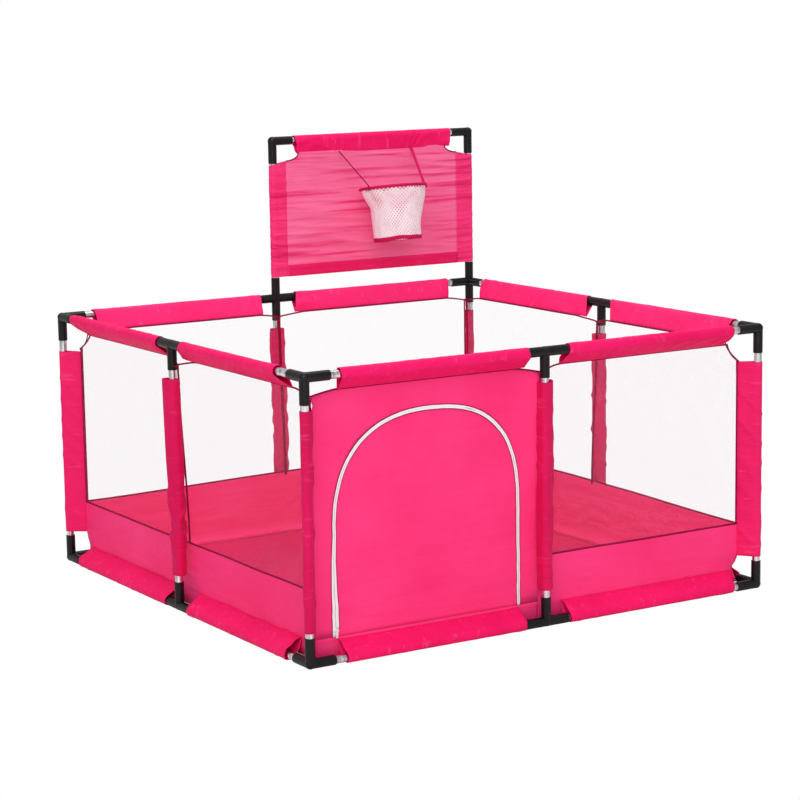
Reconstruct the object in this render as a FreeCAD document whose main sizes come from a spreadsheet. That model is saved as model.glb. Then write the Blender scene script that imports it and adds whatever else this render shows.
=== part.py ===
"""Child's square playpen with a basketball backboard.

A knock-down frame of steel tubes plugged into moulded corner and tee joints
holds one sewn cover: a floor, four walls with mesh windows, and an arched
door closed by a zip.  A cloth backboard with a small hoop and net plugs into
the back of the frame.

Frame of reference: millimetres, +Z up, origin on the ground at the middle of
the square.  The front, with the door, faces -Y.  Sides are numbered
anticlockwise from above: 0 front, 1 right, 2 back, 3 left.  Each side is laid
out as if it were the front one, along +X and inward +Y, and then turned.
"""
import FreeCAD, Part
import math
import os
import re
import Sketcher

SIZES = {
    # The square frame.
    "frame_span": 1257.0,        # between the axes of two corner posts
    "rail_low": 11.0,            # height of the bottom rails' axes
    "rail_high": 642.0,          # height of the top rails' axes
    "rail_board": 1066.0,        # height of the backboard rail's axis
    "tube_radius": 9.5,
    "tube_wall": 0.6,
    # The moulded joints, with each arm measured from the joint's centre.
    "joint_radius": 11.5,
    "joint_ball": 12.1,          # radius of the knuckle where the arms meet
    "joint_lip": 0.8,            # rounding of an arm's mouth
    "socket_clearance": 0.05,    # around a tube in its socket
    "socket_stop": 14.0,         # where a tube's end meets the joint's web
    "arm_corner": 62.0,
    "arm_tee": 60.0,
    "arm_down": 60.0,
    "arm_up": 58.0,
    "arm_board": 56.0,
    "elbow_side": 58.0,
    "elbow_down": 60.0,
    # The sewn cover, which hangs inside the frame.
    "wall_inset": 32.0,          # from the post axes in to the wall
    "wall_cloth": 1.2,
    "floor_cloth": 1.2,
    "mesh_cloth": 0.8,
    "band_top": 160.0,           # top of the cloth band below the mesh
    "wall_top": 604.0,           # where the wall meets the top sleeves
    "wall_notch": 45.0,          # radius of the cut-out at a bay's top corners
    "post_gap": 0.5,             # between two bays behind a middle post
    # The loops of cloth around the tubes.
    "sleeve_cloth": 1.0,
    "sleeve_gap": 0.4,           # between a tube and its sleeve
    "seam_radius": 1.6,          # outside of the fold at a sleeve's seam
    "seam_inset": 29.0,
    "seam_drop": 36.0,           # from a top rail down to the seam
    "seam_rise": 34.0,           # from a bottom rail up to the seam
    "sleeve_start": 88.0,        # from a corner post's axis to a rail sleeve
    "sleeve_end": 62.0,          # from a rail sleeve to a middle post's axis
    "post_sleeve_low": 80.0,
    "post_sleeve_high": 560.0,
    "post_sleeve_radius": 20.0,  # outside of the loose sleeve on a middle post
    "tie_height": 6.0,           # webbing tie around a top joint's lower arm
    "tie_drop": 51.0,            # from the top rail's axis to the tie's underside
    # The door.
    "door_centre": 300.0,        # from the front's middle post to the arch's middle
    "door_sill": 51.0,           # height of the fold that the door swings on
    "door_fold": 0.8,            # from that fold to the door's lower edge
    "sill_gap": 1.1,             # from that fold down to the fixed cloth
    "arch_radius": 244.0,        # middle of the zip
    "arch_spring": 295.0,        # height where the zip's straight legs end
    "zip_width": 12.0,
    "zip_thickness": 1.6,
    "zip_gap": 1.4,              # between the two tapes
    # The zip's slider and its pull.
    "slider_low": 56.0,
    "slider_width": 9.0,
    "slider_height": 14.0,
    "slider_plate": 2.0,
    "slider_clearance": 0.3,
    "lug_width": 1.2,
    "lug_reach": 3.2,
    "lug_height": 4.0,
    "pivot_rise": 10.0,          # from the slider's foot to the pull's pin
    "pivot_reach": 2.0,          # from the slider's plate out to the pin
    "pin_radius": 0.6,
    "eye_radius": 1.5,
    "eye_length": 5.0,
    "pull_width": 6.0,
    "pull_length": 13.0,
    "pull_thickness": 1.0,
    "pull_hole": 1.6,
    # The backboard's cloth, from the back's middle post to its right corner.
    "board_low": 700.0,
    "board_left_seam": 34.0,     # from the left upright's axis to its sleeve's seam
    "board_right_seam": 47.0,
    "board_side_top": 1004.0,
    "board_top_seam": 32.0,      # from the rail's axis down to its sleeve's seam
    "board_notch": 28.0,
    "board_sleeve_start": 68.0,  # from an upright's axis to the top sleeve
    # The hoop, tilted up a little at its front, with its net and straps.
    "hoop_height": 919.0,        # where it meets the board
    "hoop_radius": 90.0,
    "hoop_cord": 3.5,
    "hoop_gap": 0.5,
    "hoop_tilt": 8.3,            # degrees
    "net_cloth": 1.2,
    "net_length": 146.0,
    "net_waist": 75.0,           # from its hem up to where it starts to widen
    "net_top_radius": 86.0,
    "net_waist_radius": 66.0,
    "net_hem_radius": 64.0,
    "strap_width": 8.0,
    "strap_thickness": 1.0,
    "strap_spread": 118.0,       # from the hoop's middle, at the board's top
    "strap_top": 1030.0,
    "strap_angle": 76.0,         # degrees round the hoop from its front
}

SIDES = ("front", "right", "back", "left")
START_CORNERS = ("front_left", "front_right", "back_right", "back_left")
BAYS = (("left", "right"), ("front", "back"), ("right", "left"), ("back", "front"))
BACK = 2

X_AXIS = FreeCAD.Vector(1, 0, 0)
Y_AXIS = FreeCAD.Vector(0, 1, 0)
Z_AXIS = FreeCAD.Vector(0, 0, 1)
AS_DRAWN = FreeCAD.Rotation()
FLAT_ON_WALL = FreeCAD.Rotation(X_AXIS, 90)           # drawn X along, drawn Y up
ALONG_RAIL = FreeCAD.Rotation(FreeCAD.Vector(1, 1, 1), 120)   # drawn X inward, drawn Y up
ROUND_TURN = 360.0
TOLERANCE = 0.01

doc = FreeCAD.newDocument("Playpen")
sheet = doc.addObject("Spreadsheet::Sheet", "Sizes")
for row, (alias, size) in enumerate(SIZES.items(), start=1):
    sheet.set(f"A{row}", alias)
    sheet.set(f"B{row}", str(size))
    sheet.setAlias(f"B{row}", alias)
doc.recompute()

nodes = []


# ---------------------------------------------------------------- sheet and placing

def in_sheet(formula):
    """Name the sheet in front of each of its aliases in a formula."""
    return re.sub(r"[a-z]+(_[a-z]+)+", lambda found: "Sizes." + found.group(), formula)


def value(formula):
    """The number that a formula gives now."""
    return float(sheet.evalExpression(in_sheet(formula)))


def bind(thing, target, formula):
    """Let the sheet drive one property of a thing."""
    thing.setExpression(target, in_sheet(formula))


def move_to(thing, east, north, height, turn=AS_DRAWN):
    """Place a thing in the frame of reference."""
    thing.Placement = FreeCAD.Placement(FreeCAD.Vector(), turn)
    bind(thing, "Placement.Base.x", east)
    bind(thing, "Placement.Base.y", north)
    bind(thing, "Placement.Base.z", height)


def place(thing, side, along, inward, height, turn=AS_DRAWN):
    """Place a thing on a side, along it from its middle and inward from its posts."""
    across = f"({inward}) - frame_span / 2"
    east, north = (
        (along, across),
        (f"-({across})", along),
        (f"-({along})", f"-({across})"),
        (across, f"-({along})"),
    )[side]
    move_to(thing, east, north, height, FreeCAD.Rotation(Z_AXIS, 90 * side) * turn)


def keep(thing, name):
    """Hand a finished sub-part in under its own name."""
    thing.Label = name
    nodes.append(thing)


# ---------------------------------------------------------------- sketches

def new_body(name):
    return doc.addObject("PartDesign::Body", name)


def new_sketch(body, plane="XY_Plane", ending="_sketch"):
    sketch = body.newObject("Sketcher::SketchObject", body.Name + ending)
    origin_plane = next(f for f in body.Origin.OriginFeatures if f.Role == plane)
    sketch.AttachmentSupport = [(origin_plane, "")]
    sketch.MapMode = "FlatFace"
    return sketch


def dimension(sketch, kind, places, formula):
    """Add a driving dimension that the sheet sets."""
    index = sketch.addConstraint(Sketcher.Constraint(kind, *places, value(formula)))
    bind(sketch, f"Constraints[{index}]", formula)


def pin_down(sketch, edge, end, across, up):
    """Fix one point of a sketch by its distances from the sketch's origin."""
    for kind, axis, formula in (("DistanceX", -2, across), ("DistanceY", -1, up)):
        if formula == "0":
            sketch.addConstraint(Sketcher.Constraint("PointOnObject", edge, end, axis))
        elif formula:
            dimension(sketch, kind, (-1, 1, edge, end), formula)


def ring(sketch, radius):
    """A circle about the sketch's origin."""
    circle = Part.Circle(FreeCAD.Vector(), Z_AXIS, value(radius))
    edge = sketch.addGeometry(circle, False)
    sketch.addConstraint(Sketcher.Constraint("Coincident", edge, 3, -1, 1))
    dimension(sketch, "Radius", (edge,), radius)


def outline(sketch, corners, rounds=None):
    """A closed outline through corners, each a pair of formulas.

    rounds names the stretches that are arcs: the number of a stretch's first
    corner, with the arc's centre and whether it runs anticlockwise.
    """
    rounds = rounds or {}
    points = [FreeCAD.Vector(value(across), value(up), 0) for across, up in corners]
    ends = []
    for index, start in enumerate(points):
        finish = points[(index + 1) % len(points)]
        if index not in rounds:
            edge = sketch.addGeometry(Part.LineSegment(start, finish), False)
            ends.append((edge, 1, 2))
            continue
        across, up, anticlockwise = rounds[index]
        centre = FreeCAD.Vector(value(across), value(up), 0)
        first, last = (start, finish) if anticlockwise else (finish, start)
        angles = [math.atan2(p.y - centre.y, p.x - centre.x) for p in (first, last)]
        circle = Part.Circle(centre, Z_AXIS, (start - centre).Length)
        edge = sketch.addGeometry(Part.ArcOfCircle(circle, *angles), False)
        ends.append((edge, 1, 2) if anticlockwise else (edge, 2, 1))
        pin_down(sketch, edge, 3, None, up)
    for index, (edge, first, last) in enumerate(ends):
        next_edge, next_first, _ = ends[(index + 1) % len(ends)]
        sketch.addConstraint(
            Sketcher.Constraint("Coincident", edge, last, next_edge, next_first))
        pin_down(sketch, edge, first, *corners[index])


def belt(sketch, wheel, fold, across, up):
    """The outline of a belt around a wheel at the origin and a small fold elsewhere."""
    wheel_radius = value(wheel)
    fold_radius = value(fold)
    centre = FreeCAD.Vector(value(across), value(up), 0)
    heading = math.atan2(centre.y, centre.x)
    spread = math.acos((wheel_radius - fold_radius) / centre.Length)
    right, left = heading - spread, heading + spread

    def rim(middle, radius, angle):
        return middle + FreeCAD.Vector(math.cos(angle), math.sin(angle), 0) * radius

    zero = FreeCAD.Vector()
    wheel_arc = Part.ArcOfCircle(Part.Circle(zero, Z_AXIS, wheel_radius), left, right)
    fold_arc = Part.ArcOfCircle(Part.Circle(centre, Z_AXIS, fold_radius), right, left)
    out_run = Part.LineSegment(
        rim(zero, wheel_radius, right), rim(centre, fold_radius, right))
    home_run = Part.LineSegment(
        rim(centre, fold_radius, left), rim(zero, wheel_radius, left))
    edges = [sketch.addGeometry(g, False) for g in (wheel_arc, out_run, fold_arc, home_run)]
    for index, edge in enumerate(edges):
        sketch.addConstraint(
            Sketcher.Constraint("Tangent", edge, 2, edges[(index + 1) % len(edges)], 1))
    sketch.addConstraint(Sketcher.Constraint("Coincident", edges[0], 3, -1, 1))
    dimension(sketch, "Radius", (edges[0],), wheel)
    dimension(sketch, "Radius", (edges[2],), fold)
    pin_down(sketch, edges[2], 3, across, up)


def pad(body, sketch, length):
    feature = body.newObject("PartDesign::Pad", body.Name + "_pad")
    feature.Profile = sketch
    bind(feature, "Length", length)


# ---------------------------------------------------------------- shapes used again

def tube(name, length):
    """A steel tube along its own Z axis."""
    body = new_body(name)
    sketch = new_sketch(body)
    ring(sketch, "tube_radius")
    ring(sketch, "tube_radius - tube_wall")
    pad(body, sketch, length)
    return body


def sleeve(name, across, up, length, wheel="tube_radius"):
    """A loop of cloth around a tube, closed by a seam beside it."""
    body = new_body(name)
    sketch = new_sketch(body)
    belt(sketch, f"{wheel} + sleeve_gap + sleeve_cloth", "seam_radius", across, up)
    belt(sketch, f"{wheel} + sleeve_gap", "seam_radius - sleeve_cloth", across, up)
    pad(body, sketch, length)
    return body


def panel(name, corners, rounds, thickness):
    """A flat piece of cloth, drawn face on."""
    body = new_body(name)
    sketch = new_sketch(body)
    outline(sketch, corners, rounds)
    pad(body, sketch, thickness)
    return body


def notched_panel(name, left, right, low, thickness):
    """A wall panel whose two top corners are cut away in quarter circles."""
    corners = (
        (left, low),
        (right, low),
        (right, "wall_top - wall_notch"),
        (f"{right} - wall_notch", "wall_top"),
        (f"{left} + wall_notch", "wall_top"),
        (left, "wall_top - wall_notch"),
    )
    rounds = {2: (right, "wall_top", False), 4: (left, "wall_top", False)}
    return panel(name, corners, rounds, thickness)


def arch_corners(radius, foot):
    """The outline of a doorway shape, and its arc, about the door's middle line."""
    corners = (
        (f"-({radius})", foot),
        (radius, foot),
        (radius, "arch_spring"),
        (f"-({radius})", "arch_spring"),
    )
    return corners, {2: ("0", "arch_spring", True)}


def joint_arm(name, direction, start, length, radius):
    """A cylinder that starts some way out from a joint's centre."""
    arm = doc.addObject("Part::Cylinder", name)
    bind(arm, "Radius", radius)
    bind(arm, "Height", length)
    move_to(
        arm, f"{direction.x} * ({start})", f"{direction.y} * ({start})",
        f"{direction.z} * ({start})", FreeCAD.Rotation(Z_AXIS, direction))
    return arm


def joint(name, arms, on_ground=False):
    """A moulded joint: an arm with a blind socket for each tube that plugs in."""
    solids = [doc.addObject("Part::Sphere", name + "_knuckle")]
    bind(solids[0], "Radius", "joint_ball")
    sockets = []
    for number, (direction, reach) in enumerate(arms):
        solids.append(joint_arm(f"{name}_arm_{number}", direction, "0", reach, "joint_radius"))
        sockets.append(joint_arm(
            f"{name}_socket_{number}", direction, "socket_stop", reach,
            "tube_radius + socket_clearance"))
    moulding = doc.addObject("Part::MultiFuse", name + "_moulding")
    moulding.Shapes = solids
    hollows = doc.addObject("Part::Compound", name + "_hollows")
    hollows.Links = sockets
    bored = doc.addObject("Part::Cut", name + "_bored")
    bored.Base = moulding
    bored.Tool = hollows
    doc.recompute()
    reaches = [value(reach) for _, reach in arms]
    rounded = doc.addObject("Part::Fillet", name + "_rounded")
    rounded.Base = bored
    lip = value("joint_lip")
    rounded.Edges = [
        (number, lip, lip) for number, edge in enumerate(bored.Shape.Edges, start=1)
        if is_mouth(edge, reaches)
    ]
    if not on_ground:
        return rounded
    ground = doc.addObject("Part::Box", name + "_ground")
    for side in ("Length", "Width", "Height"):
        bind(ground, side, "frame_span")
    move_to(ground, "-frame_span / 2", "-frame_span / 2", "-frame_span - rail_low")
    footed = doc.addObject("Part::Cut", name + "_footed")
    footed.Base = rounded
    footed.Tool = ground
    return footed


def is_mouth(edge, reaches):
    """Whether an edge is the outer rim of an arm's open end."""
    whole_rim = abs(edge.Length - math.tau * value("joint_radius")) < TOLERANCE
    distance = edge.CenterOfMass.Length
    return whole_rim and any(abs(distance - reach) < TOLERANCE for reach in reaches)


def box(name, length, width, height, corner):
    solid = doc.addObject("Part::Box", name)
    bind(solid, "Length", length)
    bind(solid, "Width", width)
    bind(solid, "Height", height)
    move_to(solid, *corner)
    return solid


def fuse(name, solids):
    whole = doc.addObject("Part::MultiFuse", name)
    whole.Shapes = solids
    return whole


def group(name, solids):
    """Separate solids that are handed in as one sub-part."""
    whole = doc.addObject("Part::Compound", name)
    whole.Links = solids
    keep(whole, name)


# ---------------------------------------------------------------- the steel frame

def add_tubes():
    """Posts and rails, each reaching from one socket's stop to the next."""
    for side, side_name in enumerate(SIDES):
        stations = ((START_CORNERS[side], "-frame_span / 2"), (side_name + "_middle", "0"))
        for station, along in stations:
            post = tube("post_" + station, "rail_high - rail_low - 2 * socket_stop")
            place(post, side, along, "0", "rail_low + socket_stop")
            keep(post, "post_" + station)
        for level, height in (("bottom", "rail_low"), ("top", "rail_high")):
            for bay, start in zip(BAYS[side], ("-frame_span / 2", "0")):
                name = f"{level}_rail_{side_name}_{bay}"
                rail = tube(name, "frame_span / 2 - 2 * socket_stop")
                place(rail, side, f"{start} + socket_stop", "0", height, ALONG_RAIL)
                keep(rail, name)


def add_joints():
    """Three-way and four-way joints, in the corners and in the middle of each side."""
    for side, side_name in enumerate(SIDES):
        corner_arms = [(X_AXIS, "arm_corner"), (Y_AXIS, "arm_corner")]
        tee_arms = [(X_AXIS, "arm_tee"), (-X_AXIS, "arm_tee")]
        top = [(-Z_AXIS, "arm_down")]
        if side == BACK:
            top.append((Z_AXIS, "arm_board"))
        bottom = [(Z_AXIS, "arm_up")]
        corner = START_CORNERS[side]
        for name, arms, along, height, on_ground in (
            (f"top_corner_{corner}", corner_arms + top, "-frame_span / 2", "rail_high", False),
            (f"top_tee_{side_name}", tee_arms + top, "0", "rail_high", False),
            (f"bottom_corner_{corner}", corner_arms + bottom, "-frame_span / 2", "rail_low", True),
            (f"bottom_tee_{side_name}", tee_arms + bottom, "0", "rail_low", True),
        ):
            moulding = joint(name, arms, on_ground)
            place(moulding, side, along, "0", height)
            keep(moulding, name)


def add_backboard_frame():
    """Two uprights that plug into the back joints, two elbows and a rail."""
    for name, east, inward in (("left", "0", X_AXIS), ("right", "frame_span / 2", -X_AXIS)):
        upright = tube("board_upright_" + name, "rail_board - rail_high - 2 * socket_stop")
        move_to(upright, east, "frame_span / 2", "rail_high + socket_stop")
        keep(upright, "board_upright_" + name)
        elbow = joint("board_elbow_" + name, [(inward, "elbow_side"), (-Z_AXIS, "elbow_down")])
        move_to(elbow, east, "frame_span / 2", "rail_board")
        keep(elbow, "board_elbow_" + name)
    rail = tube("board_rail", "frame_span / 2 - 2 * socket_stop")
    move_to(rail, "socket_stop", "frame_span / 2", "rail_board", ALONG_RAIL)
    keep(rail, "board_rail")


# ---------------------------------------------------------------- the sewn cover

def rail_sleeves(side):
    """The sleeves around a side's two top rails and two bottom rails."""
    for level, height, rise in (("top", "rail_high", "-seam_drop"), ("low", "rail_low", "seam_rise")):
        for bay, start in (("first", "sleeve_start - frame_span / 2"), ("second", "sleeve_end")):
            cloth = sleeve(
                f"{SIDES[side]}_{level}_{bay}_sleeve", "seam_inset", rise,
                "frame_span / 2 - sleeve_start - sleeve_end")
            place(cloth, side, start, "0", height, ALONG_RAIL)
            yield cloth


def post_sleeves(side):
    """The sleeve on the corner post, folded inward, and the loose one on the middle post."""
    length = "post_sleeve_high - post_sleeve_low"
    corner = sleeve(SIDES[side] + "_corner_sleeve", "seam_inset", "seam_inset", length)
    place(corner, side, "-frame_span / 2", "0", "post_sleeve_low")
    yield corner
    middle = new_body(SIDES[side] + "_middle_sleeve")
    sketch = new_sketch(middle)
    ring(sketch, "post_sleeve_radius")
    ring(sketch, "post_sleeve_radius - sleeve_cloth")
    pad(middle, sketch, length)
    place(
        middle, side, "0", "post_sleeve_radius - tube_radius - sleeve_gap - sleeve_cloth",
        "post_sleeve_low")
    yield middle


def joint_ties(side):
    """Webbing that ties the wall to the lower arm of the corner joint and of the tee."""
    for station, along, across in (("corner", "-frame_span / 2", "seam_inset"), ("tee", "0", "0")):
        tie = sleeve(
            f"{SIDES[side]}_{station}_tie", across, "seam_inset", "tie_height", "joint_radius")
        place(tie, side, along, "0", "rail_high - tie_drop")
        yield tie


def wall_band(side):
    """The band of cloth from the floor to the mesh.  The front one stops at the door."""
    left = "0" if side == 0 else "wall_inset - wall_cloth / 2 - frame_span / 2"
    right = "frame_span / 2 - wall_inset - wall_cloth / 2"
    corners = (
        (left, "floor_cloth"), (right, "floor_cloth"), (right, "band_top"), (left, "band_top"))
    band = panel(SIDES[side] + "_band", corners, None, "wall_cloth")
    place(band, side, "0", "wall_inset + wall_cloth / 2", "0", FLAT_ON_WALL)
    return band


def door_surround():
    """The cloth bay that the door is cut into."""
    left = "door_centre - frame_span / 2 + wall_inset - wall_cloth / 2"
    surround = notched_panel("door_surround", left, "door_centre", "floor_cloth", "wall_cloth")
    sketch = new_sketch(surround, ending="_doorway")
    outline(sketch, *arch_corners("arch_radius + zip_width / 2", "door_sill - sill_gap"))
    doorway = surround.newObject("PartDesign::Pocket", "doorway")
    doorway.Profile = sketch
    doorway.Type = "ThroughAll"
    doorway.Midplane = True
    place(surround, 0, "-door_centre", "wall_inset + wall_cloth / 2", "0", FLAT_ON_WALL)
    return surround


def add_cover():
    """The floor, the four walls with all that is sewn to them, and the mesh windows."""
    width = "frame_span - 2 * wall_inset + wall_cloth"
    edge = "wall_inset - wall_cloth / 2 - frame_span / 2"
    floor = box("cover_floor", width, width, "floor_cloth", (edge, edge, "0"))
    keep(floor, "cover_floor")
    windows = []
    reach = "frame_span / 2 - wall_inset - wall_cloth / 2"
    for side, side_name in enumerate(SIDES):
        cloth = [wall_band(side), *rail_sleeves(side), *post_sleeves(side), *joint_ties(side)]
        if side == 0:
            cloth.append(door_surround())
        group("wall_" + side_name, cloth)
        spans = ((f"-({reach})", "-post_gap"), ("post_gap", reach))
        for bay, (left, right) in zip(BAYS[side], spans):
            if side == 0 and bay == "left":
                continue
            window = notched_panel(
                f"window_{side_name}_{bay}", left, right, "band_top", "mesh_cloth")
            place(window, side, "0", "wall_inset + mesh_cloth / 2", "0", FLAT_ON_WALL)
            windows.append(window)
    group("mesh_windows", windows)


# ---------------------------------------------------------------- the door and its zip

def zip_tape(name, inner, outer, left_foot, right_foot):
    """One tape of the zip: up one leg, over the arch and down the other."""
    corners = (
        (f"-({outer})", left_foot), (f"-({inner})", left_foot), (f"-({inner})", "arch_spring"),
        (inner, "arch_spring"), (inner, right_foot), (outer, right_foot),
        (outer, "arch_spring"), (f"-({outer})", "arch_spring"),
    )
    rounds = {2: ("0", "arch_spring", False), 6: ("0", "arch_spring", True)}
    tape = panel(name, corners, rounds, "zip_thickness")
    place(tape, 0, "-door_centre", "wall_inset + zip_thickness / 2", "0", FLAT_ON_WALL)
    keep(tape, name)


def add_door():
    """The arched flap, and a zip tape on its edge and on the edge of the doorway."""
    foot = "door_sill + door_fold"
    flap = panel("door_flap", *arch_corners("arch_radius - zip_width / 2", foot), "wall_cloth")
    place(flap, 0, "-door_centre", "wall_inset + wall_cloth / 2", "0", FLAT_ON_WALL)
    keep(flap, "door_flap")
    sill = "door_sill - sill_gap"
    zip_tape(
        "zip_tape_fixed", "arch_radius + zip_gap / 2", "arch_radius + zip_width / 2", sill, sill)
    # The flap's tape starts above the parked slider, so that the door can swing past it.
    above_slider = "slider_low + slider_height + slider_plate"
    zip_tape(
        "zip_tape_door", "arch_radius - zip_width / 2", "arch_radius - zip_gap / 2",
        above_slider, foot)


def add_slider():
    """Two plates joined by a web between the tapes, with two lugs and a pin in front."""
    half = "slider_width / 2"
    face = "zip_thickness / 2 + slider_clearance"
    front = f"-({face}) - slider_plate"
    lug_low = "pivot_rise - lug_height / 2"
    web = "zip_gap - 2 * slider_clearance"
    solids = [
        box("slider_front", "slider_width", "slider_plate", "slider_height", (f"-{half}", front, "0")),
        box("slider_back", "slider_width", "slider_plate", "slider_height", (f"-{half}", face, "0")),
        box("slider_web", web, f"2 * ({face})", "slider_height", (f"-({web}) / 2", f"-({face})", "0")),
        box("slider_lug_left", "lug_width", "lug_reach", "lug_height",
            (f"-{half}", f"{front} - lug_reach", lug_low)),
        box("slider_lug_right", "lug_width", "lug_reach", "lug_height",
            (f"{half} - lug_width", f"{front} - lug_reach", lug_low)),
    ]
    pin = doc.addObject("Part::Cylinder", "slider_pin")
    bind(pin, "Radius", "pin_radius")
    bind(pin, "Height", "slider_width - lug_width")
    move_to(
        pin, "(lug_width - slider_width) / 2", f"{front} - pivot_reach", "pivot_rise",
        FreeCAD.Rotation(Z_AXIS, X_AXIS))
    slider = fuse("zip_slider", solids + [pin])
    place(slider, 0, "-door_centre - arch_radius", "wall_inset", "slider_low")
    keep(slider, "zip_slider")


def add_pull():
    """The tab that hangs from the slider's pin by its eye."""
    across = FreeCAD.Rotation(Z_AXIS, X_AXIS)
    through = FreeCAD.Rotation(Z_AXIS, Y_AXIS)
    eye = doc.addObject("Part::Cylinder", "pull_eye")
    bind(eye, "Radius", "eye_radius")
    bind(eye, "Height", "eye_length")
    move_to(eye, "-eye_length / 2", "0", "0", across)
    tab = box(
        "pull_tab", "eye_length", "pull_thickness", "pull_length",
        ("-eye_length / 2", "-pull_thickness / 2", "-pull_length"))
    foot = doc.addObject("Part::Cylinder", "pull_foot")
    bind(foot, "Radius", "pull_width / 2")
    bind(foot, "Height", "pull_thickness")
    move_to(foot, "0", "-pull_thickness / 2", "-pull_length", through)
    blank = fuse("pull_blank", [eye, tab, foot])
    bore = doc.addObject("Part::Cylinder", "pull_bore")
    bind(bore, "Radius", "pin_radius + socket_clearance")
    bind(bore, "Height", "slider_width")
    move_to(bore, "-slider_width / 2", "0", "0", across)
    hole = doc.addObject("Part::Cylinder", "pull_hole_cutter")
    bind(hole, "Radius", "pull_hole")
    bind(hole, "Height", "pull_width")
    move_to(hole, "0", "-pull_width / 2", "-pull_length", through)
    holes = doc.addObject("Part::Compound", "pull_holes")
    holes.Links = [bore, hole]
    pull = doc.addObject("Part::Cut", "zip_pull")
    pull.Base = blank
    pull.Tool = holes
    reach = "zip_thickness / 2 + slider_clearance + slider_plate + pivot_reach"
    place(
        pull, 0, "-door_centre - arch_radius", f"wall_inset - ({reach})",
        "slider_low + pivot_rise")
    keep(pull, "zip_pull")


# ---------------------------------------------------------------- the backboard's cloth and hoop

BOARD_FACE = "frame_span / 2 - tube_radius - sleeve_gap - sleeve_cloth"
HOOP_BACK = f"{BOARD_FACE} - hoop_gap - hoop_cord"


def add_board_cloth():
    """The board's field and the sleeves that hold it to the uprights and the rail."""
    seam_depth = "seam_radius - tube_radius - sleeve_gap - sleeve_cloth"
    height = "board_side_top - board_low"
    left = sleeve("board_left_sleeve", "board_left_seam", seam_depth, height)
    move_to(left, "0", "frame_span / 2", "board_low")
    right = sleeve("board_right_sleeve", "-board_right_seam", seam_depth, height)
    move_to(right, "frame_span / 2", "frame_span / 2", "board_low")
    top = sleeve(
        "board_top_sleeve", seam_depth, "-board_top_seam",
        "frame_span / 2 - 2 * board_sleeve_start")
    move_to(top, "board_sleeve_start", "frame_span / 2", "rail_board", ALONG_RAIL)
    low = "board_low"
    side_top = "board_side_top"
    left_edge = "board_left_seam + seam_radius"
    right_edge = "frame_span / 2 - board_right_seam - seam_radius"
    corners = (
        (left_edge, low), (right_edge, low), (right_edge, side_top),
        (f"{right_edge} - board_notch", f"{side_top} + board_notch"),
        (f"{left_edge} + board_notch", f"{side_top} + board_notch"), (left_edge, side_top),
    )
    rounds = {
        2: (right_edge, f"{side_top} + board_notch", False),
        4: (left_edge, f"{side_top} + board_notch", False),
    }
    field = panel("board_field", corners, rounds, "sleeve_cloth")
    move_to(field, "0", f"{BOARD_FACE} + sleeve_cloth", "0", FLAT_ON_WALL)
    group("board_cloth", [left, right, top, field])


def add_hoop():
    """The bound ring, tilted about the place where it meets the board, and its net."""
    tilt = FreeCAD.Rotation(X_AXIS, -value("hoop_tilt"))
    centre_north = f"{HOOP_BACK} - hoop_radius * cos(hoop_tilt)"
    centre_height = "hoop_height + hoop_radius * sin(hoop_tilt)"
    hoop = doc.addObject("Part::Torus", "hoop_ring")
    bind(hoop, "Radius1", "hoop_radius")
    bind(hoop, "Radius2", "hoop_cord")
    move_to(hoop, "frame_span / 4", centre_north, centre_height, tilt)
    keep(hoop, "hoop_ring")

    net = new_body("hoop_net")
    sketch = new_sketch(net, "XZ_Plane")
    stations = (
        ("net_hem_radius", "0"), ("net_waist_radius", "net_waist"), ("net_top_radius", "net_length"))
    inside = [(f"{radius} - net_cloth", height) for radius, height in reversed(stations)]
    outline(sketch, [*stations, *inside])
    spin = net.newObject("PartDesign::Revolution", "net_spin")
    spin.Profile = sketch
    spin.ReferenceAxis = (sketch, ["V_Axis"])
    spin.Angle = ROUND_TURN
    move_to(
        net, "frame_span / 4", f"{centre_north} - net_length * sin(hoop_tilt)",
        f"{centre_height} - net_length * cos(hoop_tilt)", tilt)
    keep(net, "hoop_net")


def strap_between(name, start, finish):
    """A flat strap laid straight from one point to another."""
    run = finish - start
    strap = doc.addObject("Part::Feature", name)
    width = value("strap_width")
    thickness = value("strap_thickness")
    corner = FreeCAD.Vector(0, -width / 2, -thickness / 2)
    strap.Shape = Part.makeBox(run.Length, width, thickness, corner)
    strap.Placement = FreeCAD.Placement(
        start, FreeCAD.Rotation(run, FreeCAD.Vector(), FreeCAD.Vector(0, -1, 0), "XZY"))
    return strap


def add_straps():
    """Two straps that hold the hoop up from under the board's top sleeve."""
    tilt = FreeCAD.Rotation(X_AXIS, -value("hoop_tilt"))
    middle = FreeCAD.Vector(value("frame_span / 4"), value(HOOP_BACK), value("hoop_height"))
    radius = value("hoop_radius")
    angle = math.radians(value("strap_angle"))
    above_cord = value("hoop_cord + strap_width / 2")
    straps = []
    for name, hand in (("left", -1), ("right", 1)):
        start = FreeCAD.Vector(
            middle.x + hand * value("strap_spread"), value(f"{BOARD_FACE} - strap_width"),
            value("strap_top"))
        on_hoop = tilt.multVec(FreeCAD.Vector(
            hand * radius * math.sin(angle), -radius * (1 + math.cos(angle)), above_cord))
        straps.append(strap_between("hoop_strap_" + name, start, middle + on_hoop))
    group("hoop_straps", straps)


# ---------------------------------------------------------------- build, check and write

def check():
    """Stop if anything failed to build or came out as less than closed solids."""
    for thing in doc.Objects:
        if {"Invalid", "Error"} & set(thing.State):
            raise RuntimeError(f"{thing.Label} failed: {thing.State}")
    for thing in nodes:
        shape = thing.Shape
        if shape.isNull() or not shape.isValid() or not shape.Solids:
            raise RuntimeError(f"{thing.Label} has no valid solid")
        if not all(solid.isClosed() and solid.Volume > 0 for solid in shape.Solids):
            raise RuntimeError(f"{thing.Label} is not closed")


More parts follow.
